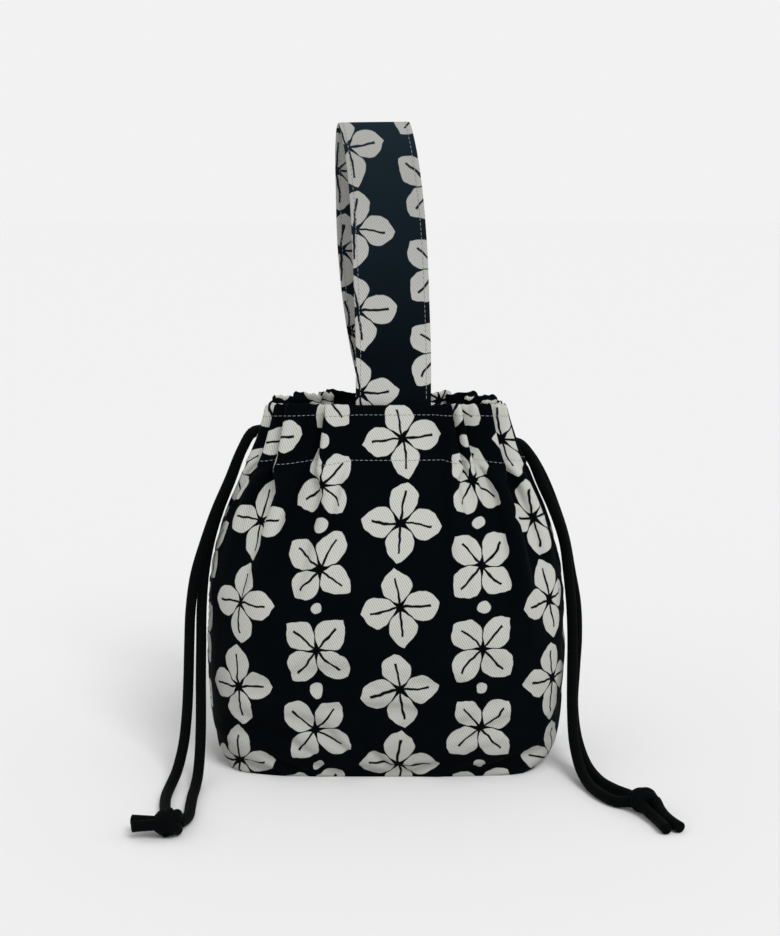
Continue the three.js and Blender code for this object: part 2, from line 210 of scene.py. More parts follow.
# Base: inset from the smooth wall and height of each ring of its turned-up edge, and the shares of
# the last ring's size where the flat middle has its rings
BASE_POINTS = 96
BASE_EDGE = ((1.5, 5.5), (1.4, 2.0), (1.6, 0.9), (2.6, 0.6))
BASE_RINGS = (0.9, 0.7, 0.45, 0.2)

# Free strands from the slit to the knot, the same points as the frame's cords, in metres
LEFT_FRONT_ROUTE = [
    (-0.082, -0.0039, 0.2225), (-0.0895, -0.0048, 0.2212), (-0.096, -0.008, 0.211),
    (-0.1048, -0.0125, 0.19), (-0.1132, -0.0155, 0.171), (-0.1208, -0.0175, 0.15),
    (-0.1274, -0.0205, 0.128), (-0.1306, -0.024, 0.105), (-0.1314, -0.0285, 0.082),
    (-0.1316, -0.035, 0.06), (-0.1318, -0.0445, 0.04), (-0.133, -0.056, 0.022),
    (-0.1356, -0.0705, 0.009), (-0.138, -0.087, 0.0042), (-0.1384, -0.105, 0.0037),
    (-0.1366, -0.123, 0.0037), (-0.1334, -0.14, 0.0039), (-0.1305, -0.1539, 0.0058),
]
LEFT_REAR_ROUTE = [
    (-0.082, 0.0039, 0.2225), (-0.0895, 0.003, 0.2212), (-0.0962, -0.0002, 0.211),
    (-0.1042, -0.0042, 0.19), (-0.1118, -0.007, 0.171), (-0.1182, -0.0096, 0.15),
    (-0.1222, -0.0136, 0.128), (-0.1236, -0.0205, 0.105), (-0.1234, -0.029, 0.082),
    (-0.123, -0.038, 0.06), (-0.1222, -0.048, 0.039), (-0.1216, -0.0605, 0.021),
    (-0.1216, -0.074, 0.0085), (-0.1218, -0.088, 0.0042), (-0.1218, -0.104, 0.0037),
    (-0.121, -0.121, 0.0037), (-0.1204, -0.14, 0.0039), (-0.1241, -0.1563, 0.0058),
]
RIGHT_FRONT_ROUTE = [
    (0.082, -0.0039, 0.2142), (0.0898, -0.0045, 0.213), (0.0978, -0.0074, 0.2035),
    (0.104, -0.0102, 0.189), (0.1122, -0.0127, 0.171), (0.1194, -0.0142, 0.15),
    (0.1226, -0.0152, 0.128), (0.1249, -0.0168, 0.106), (0.1256, -0.0208, 0.084),
    (0.125, -0.028, 0.062), (0.1242, -0.0385, 0.041), (0.1244, -0.052, 0.022),
    (0.127, -0.068, 0.009), (0.131, -0.085, 0.0042), (0.1364, -0.101, 0.0037),
    (0.1436, -0.113, 0.0037), (0.1536, -0.12, 0.0058),
]
RIGHT_REAR_ROUTE = [
    (0.082, 0.0039, 0.2142), (0.09, 0.0036, 0.213), (0.0976, 0.0016, 0.205),
    (0.106, 0, 0.1905), (0.114, -0.002, 0.171), (0.1208, -0.004, 0.15),
    (0.125, -0.0063, 0.128), (0.1288, -0.0093, 0.106), (0.1296, -0.0128, 0.084),
    (0.1278, -0.0196, 0.062), (0.1258, -0.03, 0.041), (0.1272, -0.0434, 0.022),
    (0.132, -0.0596, 0.009), (0.1382, -0.0758, 0.0042), (0.1456, -0.091, 0.0037),
    (0.1534, -0.1015, 0.0038), (0.1589, -0.1149, 0.0058),
]
# Knots: place of the middle, radius, the tails' length, how high they end and the way they point
LEFT_KNOT = {
    "x": -129.5, "y": -161, "radius": 9.4, "tail": 12.5, "end": 8.6,
    "headings": ((-1, 0.12), (-0.93, -0.36)),
}
RIGHT_KNOT = {
    "x": 160.2, "y": -121.5, "radius": 8.2, "tail": 31, "end": 3.7,
    "headings": ((0.2, -0.98), (0.42, -0.91)),
}
# A knot of the plain size: its radius, the middle height of its coils, their turns, half length,
# radius and rise. Its cord is drawn a little thinner, and its middle line lies no lower than stated.
PLAIN_KNOT_RADIUS = 8.2
COIL_LEVEL = 7.2
COIL_TURNS = 1.45
COIL_HALF_LENGTH = 5.4
COIL_RADIUS = 4.7
COIL_RISE = 3.6
DRAWN_CORD_RADIUS = CORD_DIAMETER / 2 * 0.97
LOWEST_CORD = 3.6
# Points along a free strand, a knot's coil, its last turn, and the run that the casing holds
STRAND_POINTS = 150
COIL_POINTS = 150
TURN_POINTS = 90
RUN_POINTS = 260

# Stitches, and where their rows lie: below the rim fold, and in from the strap's edges
STITCH_LENGTH = 2.5
STITCH_PITCH = 3.1
SHORTEST_STITCH = 1.2
THREAD = 0.38
STITCH_WIDENING = 1.15
STITCH_PROUD = 0.08
PANEL_STITCH_DROPS = (("top", 5.5), ("lower", 34.5))
CLOTH_PER_HEIGHT = 1.03
STRAP_STITCH_INSET = 3.2
STRAP_STITCHES_FROM = RIM_HEIGHT + 3

# Print: leaf clusters in a half drop, in millimetres of cloth, and the twill's rib pitch
LEAF_PITCH = 54.0
LEAF_MIDDLE = 14.2
LEAF_HALF_LENGTH = 12.0
LEAF_HALF_WIDTH = 9.7
LEAF_FULLNESS = 2.3
VEIN_HALF_WIDTH = 0.55
VEIN_END = 0.45
BERRY_RADIUS = 4.6
PRINT_SHIFT = 9.0
PRINT_RISE = 12.0
PRINT_SHARPNESS = 2.2
TWILL_PITCH = 1.35
YARN_PITCH = 0.8
UV_SCALE = 100.0

# Finishes: dark ground and its worn tone, pale print and its shade between the ribs, and painted
# shade on the pale: the share of its brightness that it keeps at one height, unshaded at another.
# The strap's ground also turns to another, lighter colour between two heights, as painted light on its top.
# Heights in metres.
BODY_FINISH = {
    "ground": (0.0004, 0.0010, 0.0016),
    "worn": (0.0012, 0.0022, 0.0032),
    "pale": (0.542, 0.542, 0.510),
    "shade": (0.332, 0.332, 0.313),
    # painted shade: the pale is darker towards the base
    "painted_shade": (0.8, 0.0, 0.13),
}
STRAP_FINISH = {
    "ground": (0.0008, 0.0020, 0.0032),
    "worn": (0.0020, 0.0040, 0.0058),
    "pale": (0.47, 0.47, 0.45),
    "shade": (0.30, 0.30, 0.286),
    # painted shade: the pale is darker towards the strap's top
    "painted_shade": (0.85, 0.42, 0.27),
    # painted light: the ground is lighter towards the strap's top
    "faded": ((0.0085, 0.0165, 0.0225), 0.27, 0.42),
}

# Studio, in metres: the camera's place and tilt, its focal length against the picture's height
CAMERA_PLACE = (0.0028, -1.1, 0.371)
CAMERA_TILT = -9.0
FOCAL_LENGTH_PIXELS = 1650.0
PICTURE_HEIGHT = 936.0
SENSOR = 36.0
FLOOR_TONE = 0.754
BACKDROP_TONE = 0.888
BACKDROP_LIGHT = 0.845


# Selecting, meshes and modifiers

def deselect_all():
    for piece in bpy.context.selected_objects:
        piece.select_set(False)


def pick(pieces):
    """Select these pieces alone, with the first of them active."""
    deselect_all()
    for piece in pieces:
        piece.select_set(True)
    bpy.context.view_layer.objects.active = pieces[0]


def join(pieces, name):
    pick(pieces)
    bpy.ops.object.join()
    whole = pieces[0]
    whole.name = name
    whole.data.name = name
    return whole


def mesh_piece(name, points_mm, faces, uvs):
    """A smooth-shaded mesh object from points in millimetres, with one UV pair for each point."""
    mesh = bpy.data.meshes.new(name)
    mesh.from_pydata((np.asarray(points_mm) * MM).tolist(), [], faces)
    layer = mesh.uv_layers.new(name="cloth")
    corners = np.empty(len(mesh.loops), dtype=np.int32)
    mesh.loops.foreach_get("vertex_index", corners)
    layer.data.foreach_set("uv", np.asarray(uvs, dtype=np.float32)[corners].ravel())
    mesh.polygons.foreach_set("use_smooth", [True] * len(mesh.polygons))
    mesh.update()
    piece = bpy.data.objects.new(name, mesh)
    bpy.context.collection.objects.link(piece)
    return piece


def grid_faces(rows, columns, wrap=False):
    """Quads of a grid of points stored row after row."""
    faces = []
    across = columns if wrap else columns - 1
    for j in range(rows - 1):
        for i in range(across):
            k = (i + 1) % columns
            faces.append((j * columns + i, j * columns + k, (j + 1) * columns + k, (j + 1) * columns + i))
    return faces


def apply_modifiers(piece):
    pick([piece])
    for modifier in list(piece.modifiers):
        bpy.ops.object.modifier_apply(modifier=modifier.name)


def thicken(piece, thickness):
    """Give a sheet its thickness, half of it to each side."""
    solid = piece.modifiers.new("thickness", "SOLIDIFY")
    solid.thickness = thickness * MM
    solid.offset = 0
    solid.use_even_offset = False
    solid.use_quality_normals = True
    apply_modifiers(piece)


def dress(piece, material, node=None):
    """Give a piece its body, slot and finish, and hide the frame's node that it stands for."""
    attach(piece, "root")
    if node:
        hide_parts(node)
    piece.data.materials.clear()
    piece.data.materials.append(material)


# Smooth body

def smooth_step(t):
    t = np.clip(t, 0, 1)
    return t * t * (3 - 2 * t)


def curve_value(x, xs, ys):
    """Smooth curve through given points, by cubic Hermite pieces."""
    x = np.asarray(x, dtype=float)
    slopes = np.gradient(ys, xs)
    i = np.clip(np.searchsorted(xs, x) - 1, 0, len(xs) - 2)
    span = xs[i + 1] - xs[i]
    t = np.clip((x - xs[i]) / span, 0, 1)
    h00 = 2 * t**3 - 3 * t**2 + 1
    h10 = t**3 - 2 * t**2 + t
    h01 = -2 * t**3 + 3 * t**2
    h11 = t**3 - t**2
    return h00 * ys[i] + h10 * span * slopes[i] + h01 * ys[i + 1] + h11 * span * slopes[i + 1]


def smooth_line(points, count):
    """Points evenly spaced along a smooth curve through the given ones, and its length."""
    points = np.asarray(points, dtype=float)
    chords = np.linalg.norm(np.diff(points, axis=0), axis=1)
    t = np.concatenate([[0], np.cumsum(np.sqrt(chords))])
    fine = np.linspace(0, t[-1], 40 * len(points))
    line = np.stack([curve_value(fine, t, points[:, k]) for k in range(3)], 1)
    length = path_length(line)
    where = np.linspace(0, length[-1], count)
    return np.stack([np.interp(where, length, line[:, k]) for k in range(3)], 1), length[-1]


def path_length(line):
    """Length along a line of points up to each of them."""
    return np.concatenate([[0], np.cumsum(np.linalg.norm(np.diff(line, axis=0), axis=1))])


def section(height):
    """Half width, half depth and squareness of the smooth wall at a height."""
    share = np.asarray(height) / RIM_HEIGHT
    width = curve_value(share, BODY_SHAPE[:, 0], BODY_SHAPE[:, 1]) * BODY_WIDTH / 2
    depth = curve_value(share, BODY_SHAPE[:, 0], BODY_SHAPE[:, 2]) * BODY_DEPTH / 2
    square = curve_value(share, BODY_SHAPE[:, 0], BODY_SHAPE[:, 3])
    return width, depth, square


def quarter_outline(height):
    """Fine points of the wall from the middle of the front to the side, and the way to each."""
    a, b, n = section(height)
    angle = np.linspace(0, math.pi / 2, OUTLINE_POINTS)
    x = a * np.sin(angle) ** (2 / n)
    y = -b * np.clip(np.cos(angle), 0, 1) ** (2 / n)
    return x, y, path_length(np.stack([x, y], 1))


def quarter_length(height):
    return quarter_outline(height)[2][-1]


def smooth_row(height, across):
    """Points and outward normals of the smooth wall at one height, across from -1 to 1."""
    a, b, n = section(height)
    x, y, length = quarter_outline(height)
    where = np.abs(across) * length[-1]
    px = np.interp(where, length, x) * np.sign(across)
    py = np.interp(where, length, y)
    nx = np.sign(px) * (np.abs(px) / a) ** (n - 1) / a
    ny = -((np.abs(py) / b) ** (n - 1)) / b
    size = np.hypot(nx, ny)
    return np.stack([px, py], 1), np.stack([nx / size, ny / size], 1)


def side_dip(across, height):
    return RIM_SIDE_DIP * np.abs(across) ** 3 * height / RIM_HEIGHT


def seam_cut(height):
    """Half width of the gap between the panels: closed at the seam, open at the slit."""
    opening = float(smooth_step((height - (CASING_FOOT - SLIT_RISE)) / SLIT_RISE))
    return SEAM_GAP + (SLIT_HALF_WIDTH - SEAM_GAP) * opening


def channel_share(level):
    """1 where the casing is open round the cords, and 0 at both of its stitch lines."""
    above = (CASING_TOP - level) / (CASING_TOP - CHANNEL_TOP)
    below = (level - CASING_FOOT) / (CHANNEL_FOOT - CASING_FOOT)
    return float(smooth_step(above) * smooth_step(below))


# Gathers

def fold_profile(folds, across, height):
    """Outward and sideways parts of the gathers across one row, as shares of the deepest."""
    outward = np.zeros_like(across)
    sideways = np.zeros_like(across)
    share = height / RIM_HEIGHT
    for at, half, tall, fades, lean in folds:
        wide = half * (1 + FOLD_SPREAD * max(SPREAD_BELOW - share, 0))
        away = np.clip(np.abs(across - at) / wide, 0, 1)
        ridge = (0.5 + 0.5 * np.cos(np.pi * away)) ** 0.7
        strength = tall * smooth_step((share - fades) / (FULL_GATHER - fades))
        outward = np.maximum(outward, ridge * strength)
        sideways = sideways + lean * ridge * strength**2 * CREST_LEAN
    return outward, sideways


def row_width(height):
    """Flat width of the panel at a height: it is cut narrower towards the base."""
    return min(2 * quarter_length(min(height, FULL_WIDTH_FROM)), FLAT_WIDTH)


def laid_in_folds(base, normal, outward, sideways, sink, goal):
    """A row laid over the wall in gathers, just deep enough to take up its flat width."""
    tangent = np.stack([-normal[:, 1], normal[:, 0]], 1)

    def at_depth(depth):
        line = base + normal * (depth * outward - sink)[:, None] + tangent * (depth * sideways)[:, None]
        return line, path_length(line)

    low, high = 0.0, DEEPEST_GATHER
    for _ in range(HALVINGS):
        middle = (low + high) / 2
        if at_depth(middle)[1][-1] < goal:
            low = middle
        else:
            high = middle
    return at_depth(low)


def gathered_row(folds, height):
    """One row of cloth of its true width, in gathers, with its place across the smooth wall."""
    fine = np.linspace(-1, 1, ROW_POINTS) * (1 - seam_cut(height) / quarter_length(height))
    base, normal = smooth_row(height, fine)
    outward, sideways = fold_profile(folds, fine, height)
    beside_strap = smooth_step((np.abs(fine) - STRAP_SEAT) / SEAT_EDGE)
    sink = GATHER_SINK * smooth_step((height - SINK_FROM) / SINK_RISE) * beside_strap
    line, length = laid_in_folds(base, normal, outward, sideways, sink, row_width(height))

    where = np.linspace(0, length[-1], COLUMNS + 1)
    x = np.interp(where, length, line[:, 0])
    y = np.interp(where, length, line[:, 1])
    across = np.interp(where, length, fine)
    crest = np.interp(where, length, outward)
    near_rim = float(smooth_step((height - FRILL_FROM) / FRILL_RISE))
    near_foot = math.exp(-(((height - CASING_FOOT) / FOOT_REACH) ** 2))
    level = height - side_dip(across, height)
    level = level + near_rim * (RIM_CREST * crest - RIM_VALLEY)
    level = level - near_foot * (FOOT_CREST * crest - FOOT_SIDE_RISE * np.abs(across) ** 3)
    wave = where / FRILL_PITCH + 0.35 * np.sin(where / 9.3) + 0.2 * np.sin(where / 4.1 + 2)
    frill = near_rim * np.sin(2 * np.pi * wave) * smooth_step(np.abs(x) / 22 - 0.9)
    y = y - FRILL_DEPTH * frill
    return np.stack([x, y, level + FRILL_DEPTH / 2 * frill], 1), across


# Cloth settling

def cloth_links(rows, columns, rest_across, rest_up):
    """Pairs of grid points that the cloth ties together, each with its rest length, its stiffness
    and whether it only pushes apart. Pairs that share no point are moved together."""
    slant = np.sqrt(rest_across**2 + rest_up**2)
    links = []
    for j in (0, 1):
        links.append((np.s_[:, j : columns - 1 : 2], np.s_[:, j + 1 : columns : 2], rest_across, 1.0, False))
        links.append((np.s_[j : rows - 1 : 2, :], np.s_[j + 1 : rows : 2, :], rest_up, 1.0, False))
    for j in (0, 1):
        upper = slice(j, rows - 1, 2)
        lower = slice(j + 1, rows, 2)
        rest = slant[upper]
        links.append((np.s_[upper, : columns - 1], np.s_[lower, 1:], rest, SHEAR, False))
        links.append((np.s_[upper, 1:], np.s_[lower, : columns - 1], rest, SHEAR, False))
    for span, stiff in BENDS:
        links.append((np.s_[:, : columns - span], np.s_[:, span:], span * rest_across, stiff, True))
        links.append((np.s_[: rows - span, :], np.s_[span:, :], span * rest_up, stiff, True))
    return links


def settle(points, widths, rest_up, held):
    """Let a grid of cloth find its own folds: it keeps its flat lengths, resists tight bends, rests
    on the filled inside and stays where it is held."""
    rows, columns, _ = points.shape
    p = points.copy()
    before = p.copy()
    free = (~held)[..., None].astype(float)
    rest_across = (np.asarray(widths) / (columns - 1))[:, None, None]
    links = cloth_links(rows, columns, rest_across, rest_up)
    for _ in range(SETTLE_STEPS):
        speed = (p - before) * DAMPING
        before = p.copy()
        p = p + (speed + np.array([0, 0, -WEIGHT])) * free
        for _ in range(PULLS):
            for first, second, rest, stiff, only_push in links:
                gap = p[second] - p[first]
                long = np.linalg.norm(gap, axis=2, keepdims=True) + 1e-9
                wrong = long - rest
                if only_push:
                    wrong = np.minimum(wrong, 0)
                total = free[first] + free[second]
                share = np.where(total > 0, stiff / np.maximum(total, 1), 0)
                move = gap / long * wrong * share
                shift = np.zeros_like(p)
                shift[first] += move * free[first]
                shift[second] -= move * free[second]
                p = p + shift
        p = keep_outside(p, held)
    return p


def keep_outside(p, held):
    """Cloth rests on what fills the pouch, and never passes the side seam's plane."""
    a, b, n = section(np.clip(p[..., 2], 0, RIM_HEIGHT))
    a, b = a - FILLING_INSET, b - FILLING_INSET
    level = (np.abs(p[..., 0]) / a) ** n + (np.abs(p[..., 1]) / b) ** n
    reach = np.maximum(level, 0.2) ** (1 / n)
    scale = np.where(level < 1, 1 / reach, 1)
    higher = smooth_step((p[..., 2] - STAND_OFF_FROM) / STAND_OFF_RISE)
    stand_off = STAND_OFF_LOW + STAND_OFF_HIGH * higher
    fullest = 1 + (FILLING_INSET + stand_off) / b
    scale = np.where(reach > fullest, fullest / reach, scale)
    p[..., 0] = np.where(held, p[..., 0], p[..., 0] * scale)
    p[..., 1] = np.where(held, p[..., 1], p[..., 1] * scale)
    p[..., 1] = np.minimum(p[..., 1], -SEAM_CLEARANCE)
    return p


# Wall panels

def meridian():
    """Heights of the wall rows, evenly spaced along the cloth up the middle of the front."""
    heights = np.linspace(0, RIM_HEIGHT - 0.8, MERIDIAN_POINTS)
    length = path_length(np.stack([heights, section(heights)[1]], 1))
    where = np.linspace(0, length[-1], WALL_ROWS + 1)
    return np.interp(where, length, heights), length[-1]


def first_waves(shape, seed):
    """A small uneven relief that starts the cloth's own folds."""
    waves = np.random.default_rng(seed)
    u = np.linspace(0, 1, shape[1])[None, :]
    v = np.linspace(0, 1, shape[0])[:, None]
    relief = np.zeros(shape)
    for _ in range(FIRST_WAVES):
        k, m = waves.uniform(1, 7), waves.uniform(0.5, 5)
        relief += np.sin(2 * np.pi * (k * u + m * v + waves.uniform())) * FIRST_WAVE_HEIGHT
    return relief


def unit_cross(first, second):
    cross = np.cross(first, second)
    return cross / (np.linalg.norm(cross, axis=-1, keepdims=True) + 1e-9)


def wall_cloth(folds, seed):
    """The outer wall of one panel as a settled grid of points, front panel's place."""
    heights, flat_height = meridian()
    p = np.stack([gathered_row(folds, h)[0] for h in heights])
    held = np.zeros(p.shape[:2], dtype=bool)
    held[0] = True
    held[heights >= CASING_FOOT - 4] = True
    sewn = heights < CASING_FOOT - SLIT_RISE
    held[sewn, 0] = True
    held[sewn, -1] = True
    normal = unit_cross(np.gradient(p, axis=1), np.gradient(p, axis=0))
    p = p + normal * (first_waves(p.shape[:2], seed) * ~held)[..., None]
    widths = [row_width(h) for h in heights]
    return settle(p, widths, WALL_SLACK * flat_height / WALL_ROWS, held), heights, flat_height


def hem_rows(folds, wall, heights):
    """The hem from the rim fold down: flush at both stitch lines, round the cords between."""
    inward = unit_cross(np.gradient(wall, axis=0), np.gradient(wall, axis=1))
    flush_wall = wall + inward * (CLOTH + PLY_GAP)
    levels = np.linspace(heights[-1], HEM_END, HEM_ROWS)
    rows = []
    for level in levels:
        j = np.interp(level, heights, np.arange(len(heights)))
        low = int(min(math.floor(j), len(heights) - 2))
        share = j - low
        flush = flush_wall[low] * (1 - share) + flush_wall[low + 1] * share
        across = gathered_row(folds, level)[1]
        base, outward = smooth_row(level, across)
        ruffle = HEM_RUFFLE * fold_profile(folds, across, level)[0]
        base = base - outward * (CHANNEL_INSET + HEM_CLEARANCE + ruffle)[:, None]
        round_cords = np.column_stack([base, level - side_dip(across, level)])
        mix = channel_share(level)
        rows.append(flush * (1 - mix) + round_cords * mix)
    return np.stack(rows), levels


def turned_edges(grid, u):
    """Side edges folded in, where they are sewn to the other panel."""
    before, after = [], []
    for inward in SEAM_TURN:
        for edge, sign, store in ((grid[:, 0], 1, before), (grid[:, -1], -1, after)):
            row = edge.copy()
            row[:, 0] += sign * inward
            row[:, 1] = np.minimum(row[:, 1], -SEAM_CLEARANCE)
            store.append(row)
    turn = np.array(SEAM_TURN) / FLAT_WIDTH
    grid = np.concatenate([np.stack(before[::-1], 1), grid, np.stack(after, 1)], 1)
    return grid, np.concatenate([u[0] - turn[::-1], u, u[-1] + turn])


def grid_uvs(across, along):
    """UV pairs of a grid from its flat places across and along the cloth."""
    return np.stack(np.broadcast_arrays(across, along), 2).reshape(-1, 2) / UV_SCALE


def build_panel(name, folds, seed, turned):
    """One panel: wall, rim fold and hem as one sheet, with its side edges turned in."""
    wall, heights, flat_height = wall_cloth(folds, seed)
    hem, levels = hem_rows(folds, wall, heights)
    crest = (wall[-1] + hem[0]) / 2
    crest[:, 2] += 0.75 * (CLOTH + PLY_GAP)
    grid = np.concatenate([wall, crest[None], hem])
    up_wall = np.linspace(0, flat_height, len(wall))
    up_hem = flat_height + 2 + (heights[-1] - levels)
    v = np.concatenate([up_wall, [flat_height + 1], up_hem])
    widths = np.array([row_width(h) for h in heights] + [FLAT_WIDTH] * (1 + len(levels)))
    grid, u = turned_edges(grid, np.linspace(-0.5, 0.5, COLUMNS + 1))
    if turned:
        grid = grid * np.array([-1, -1, 1])
    rows, columns, _ = grid.shape
    uvs = grid_uvs(widths[:, None] * u[None, :], v[:, None])
    piece = mesh_piece(name, grid.reshape(-1, 3), grid_faces(rows, columns), uvs)
    thicken(piece, CLOTH)
    return piece, grid, v


# Strap

def strap_end(x, side):
    """Points up one end of the strap, inside the hem; side is 1 in front and -1 at the rear."""
    points = []
    for level in STRAP_END_LEVELS:
        height = min(level, RIM_HEIGHT)
        base, _ = smooth_row(height, np.array([side * x / quarter_length(height)]))
        inset = STITCHED_INSET + (CHANNEL_INSET - STITCHED_INSET) * channel_share(level) + STRAP_CLEARANCE
        points.append((x, side * (base[0, 1] + inset), level))
    return points


def strap_loop(share):
    """Points along the loop, at a share of the strap's width from its middle line."""
    reach = share * STRAP_WIDTH
    half_gap = STRAP_HALF_GAP + STRAP_CUP * (1 - (2 * share) ** 2)
    points = []
    for lean, out, rise, turn in STRAP_LOOP:
        angle = math.radians(turn)
        x = STRAP_OFFSET - lean * STRAP_LEAN + reach * math.cos(angle)
        y = out * half_gap + reach * math.sin(angle)
        points.append((x, y, RIM_HEIGHT + rise * STRAP_RISE))
    return points


def build_strap():
    """The strap, from inside the front hem over its loop to inside the rear hem."""
    shares = np.linspace(-0.5, 0.5, STRAP_COLUMNS)
    columns = []
    for share in shares:
        x = STRAP_OFFSET + share * STRAP_WIDTH
        points = strap_end(x, 1) + strap_loop(share) + strap_end(x, -1)[::-1]
        columns.append(smooth_line(points, STRAP_ROWS)[0])
    grid = np.stack(columns, 1)
    u = shares * STRAP_WIDTH
    v = np.linspace(0, path_length(grid[:, STRAP_COLUMNS // 2])[-1], STRAP_ROWS)
    right, up = STRAP_PRINT_SHIFT
    uvs = grid_uvs(u[None, :] + right, v[:, None] + up)
    piece = mesh_piece("strap_cloth", grid.reshape(-1, 3), grid_faces(STRAP_ROWS, STRAP_COLUMNS), uvs)
    thicken(piece, STRAP_THICKNESS)
    edge = piece.modifiers.new("edges", "BEVEL")
    edge.width = STRAP_EDGE_ROUND * MM
    edge.segments = 2
    edge.limit_method = "ANGLE"
    edge.angle_limit = math.radians(60)
    apply_modifiers(piece)
    return piece, grid, u, v


# Base

def build_base():
    """The flat base, its edge turned up inside the wall where both are sewn together."""
    base, outward = smooth_row(0, np.linspace(-1, 1, BASE_POINTS + 1)[:-1])
    rings = []
    for inset, height in BASE_EDGE:
        ring = base - outward * inset
        full = np.concatenate([ring, -ring])
        rings.append(np.column_stack([full, np.full(len(full), height)]))
    floor_height = BASE_EDGE[-1][1]
    last_edge = rings[-1][:, :2]
    for share in BASE_RINGS:
        rings.append(np.column_stack([last_edge * share, np.full(len(last_edge), floor_height)]))
    count = len(last_edge)
    faces = grid_faces(len(rings), count, wrap=True)
    last = (len(rings) - 1) * count
    middle = len(rings) * count
    faces += [(last + i, last + (i + 1) % count, middle) for i in range(count)]
    points = np.concatenate([*rings, [[0, 0, floor_height]]])
    piece = mesh_piece("base_cloth", points, faces, points[:, :2] / UV_SCALE + np.array([0.13, 0.4]))
    thicken(piece, CLOTH)
    return piece


# Cords

def tube(name, line, radius):
    """A cord along a fine line, its ends rounded, with UV millimetres round and along it."""
    tangent = np.gradient(line, axis=0)
    tangent /= np.linalg.norm(tangent, axis=1, keepdims=True)
    side = np.cross(tangent[0], [0, 0, 1.0])
    if np.linalg.norm(side) < 0.1:
        side = np.cross(tangent[0], [0, 1.0, 0])
    angle = np.arange(CORD_SIDES + 1) / CORD_SIDES * 2 * math.pi
    rings = []
    for centre, ahead in zip(line, tangent):
        side = side - ahead * side.dot(ahead)
        side /= np.linalg.norm(side)
        ring = np.cos(angle)[:, None] * side + np.sin(angle)[:, None] * np.cross(ahead, side)
        rings.append(centre + radius * ring)
    rings = np.stack(rings)
    uvs = np.stack(np.broadcast_arrays((angle * radius)[None, :], path_length(line)[:, None]), 2)
    caps = []
    for end, away in ((0, -1), (-1, 1)):
        cap, cap_uvs = [], []
        for part, out in CORD_END:
            beyond = away * tangent[end] * out * CORD_END_REACH
            cap.append(line[end] + (rings[end] - line[end]) * part + beyond)
            cap_uvs.append(uvs[end] + np.array([0, away * out]))
        caps.append((cap, cap_uvs))
    (front, front_uvs), (back, back_uvs) = caps
    rings = np.concatenate([np.stack(front[::-1]), rings, np.stack(back)])
    uvs = np.concatenate([np.stack(front_uvs[::-1]), uvs, np.stack(back_uvs)])
    rows, columns, _ = rings.shape
    faces = grid_faces(rows, columns)
    piece = mesh_piece(name, rings.reshape(-1, 3), faces, uvs.reshape(-1, 2) / UV_SCALE)
    merge_seam(piece)
    return piece


def merge_seam(piece):
    """Join the first and last points of each ring, and point all faces outwards."""
    pick([piece])
    bpy.ops.object.mode_set(mode="EDIT")
    bpy.ops.mesh.select_all(action="SELECT")
    bpy.ops.mesh.remove_doubles(threshold=0.000004)
    bpy.ops.mesh.normals_make_consistent(inside=False)
    bpy.ops.object.mode_set(mode="OBJECT")


def build_strand(name, node, route, braid):
    """One free strand of a drawcord, from its slit to its knot."""
    line, length = smooth_line(np.array(route) / MM, STRAND_POINTS)
    piece = tube(name, line, CORD_DIAMETER / 2)
    dress(piece, braid, node)


def knot_cord(name, path, count):
    """A stretch of cord in a knot, kept above what the knot lies on."""
    line, _ = smooth_line(path, count)
    line[:, 2] = np.maximum(line[:, 2], LOWEST_CORD)
    return tube(name, line, DRAWN_CORD_RADIUS)


def build_knot(name, node, knot, braid):
    """An overhand knot of both strands, drawn tight, with its two tails side by side."""
    middle = np.array([knot["x"], knot["y"]])
    headings = np.array(knot["headings"], dtype=float)
    heading = headings.sum(axis=0)
    heading /= np.linalg.norm(heading)
    across = np.array([-heading[1], heading[0]])
    bulk = knot["radius"] / PLAIN_KNOT_RADIUS
    level = COIL_LEVEL * bulk
    pieces = []
    for k, way in enumerate(headings):
        path = []
        for t in np.linspace(0, 1, 48):
            angle = 2 * math.pi * COIL_TURNS * t + k * math.pi + 0.6
            along = (COIL_HALF_LENGTH * (2 * t - 1) + 1.1 * math.sin(2 * angle)) * bulk
            wide = (COIL_RADIUS + 0.8 * math.sin(3 * angle + k)) * bulk
            place = middle + heading * along + across * wide * math.cos(angle)
            path.append((*place, level + COIL_RISE * bulk * math.sin(angle)))
        start = np.array(path[-1])
        end = middle + way * (knot["radius"] + knot["tail"])
        for t in np.linspace(0.2, 1, 9):
            apart = across * (1 - 2 * k) * 1.2 * math.sin(math.pi * t)
            place = start[:2] * (1 - t) + end * t + apart
            path.append((*place, start[2] * (1 - t) ** 3 + knot["end"] * (1 - (1 - t) ** 3)))
        pieces.append(knot_cord(f"{name}_{k}", path, COIL_POINTS))
    # One more turn of the cord pulled over the others holds them together
    ring = []
    for t in np.linspace(0, 1, 40):
        angle = 2 * math.pi * 0.92 * t - 0.4
        place = middle + heading * 3.0 * (t - 0.5) * bulk + across * 6.0 * bulk * math.cos(angle)
        ring.append((*place, level + 4.6 * bulk * math.sin(angle) + 0.3))
    pieces.append(knot_cord(f"{name}_turn", ring, TURN_POINTS))
    whole = join(pieces, name)
    dress(whole, braid, node)
    return whole


